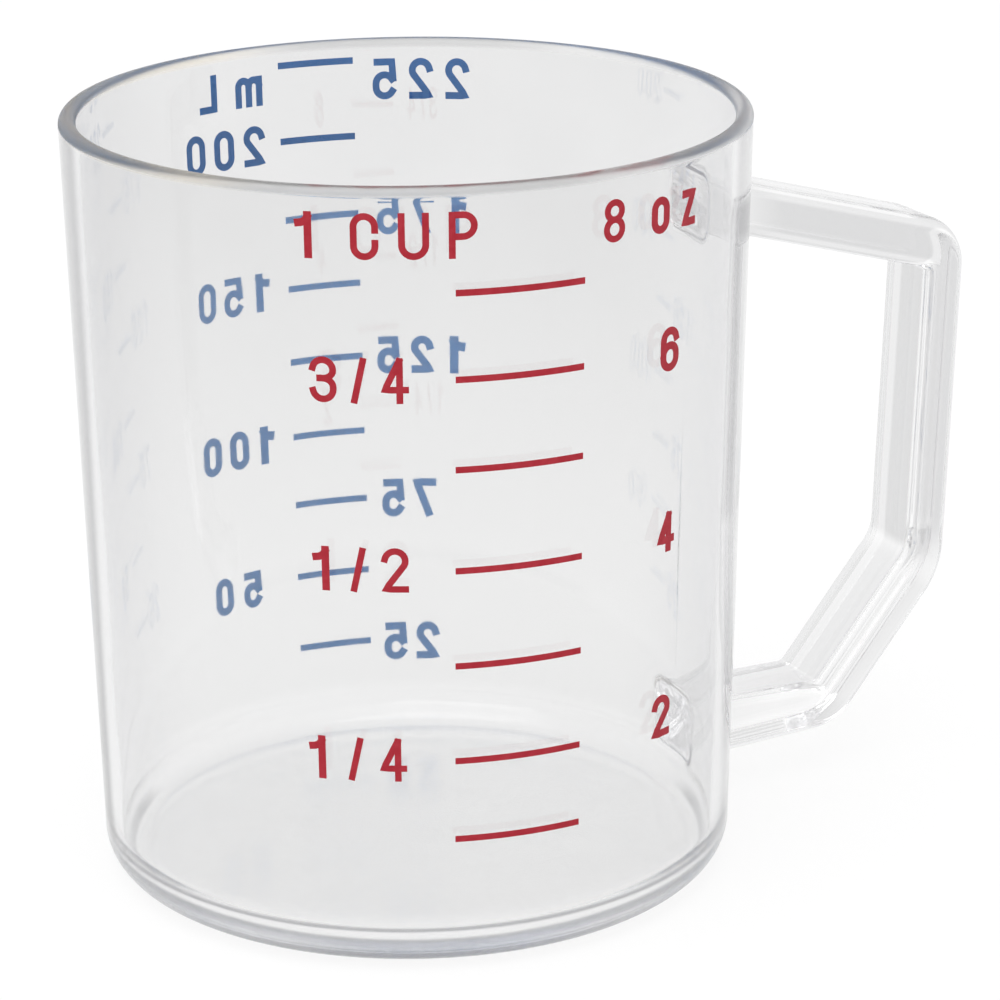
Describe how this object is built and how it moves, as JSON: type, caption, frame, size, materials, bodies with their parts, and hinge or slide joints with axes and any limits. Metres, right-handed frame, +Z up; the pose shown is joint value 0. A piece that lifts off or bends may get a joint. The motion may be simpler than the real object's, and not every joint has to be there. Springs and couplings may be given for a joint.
{
  "type": "dry measuring cup",
  "caption": "Clear plastic measuring cup with a tapered round wall, an angular strap handle at the side and printed ounce and millilitre scales, for measuring dry or liquid ingredients.",
  "frame": {"origin": "centre of the cup's flat underside, on the axis of the round wall", "axes": "+Z up out of the cup's mouth, +X out through the middle of the handle, -Y towards the red ounce scale and +Y towards the blue millilitre scale"},
  "size_m": [0.0971, 0.0683, 0.0783],
  "materials": {
    "clear_plastic": "clear moulded polycarbonate, polished inside and out",
    "red_ink": "red screen print, satin",
    "blue_ink": "blue screen print, satin"
  },
  "bodies": {
    "root": {"cup_body": "clear_plastic", "handle": "clear_plastic", "ounce_line_1": "red_ink", "ounce_line_2": "red_ink", "ounce_line_3": "red_ink", "ounce_line_4": "red_ink", "ounce_line_5": "red_ink", "ounce_line_6": "red_ink", "ounce_line_7": "red_ink", "millilitre_line_25": "blue_ink", "millilitre_line_50": "blue_ink", "millilitre_line_75": "blue_ink", "millilitre_line_100": "blue_ink", "millilitre_line_125": "blue_ink", "millilitre_line_150": "blue_ink", "millilitre_line_175": "blue_ink", "millilitre_line_200": "blue_ink", "millilitre_line_225": "blue_ink"}
  },
  "joints": []
}
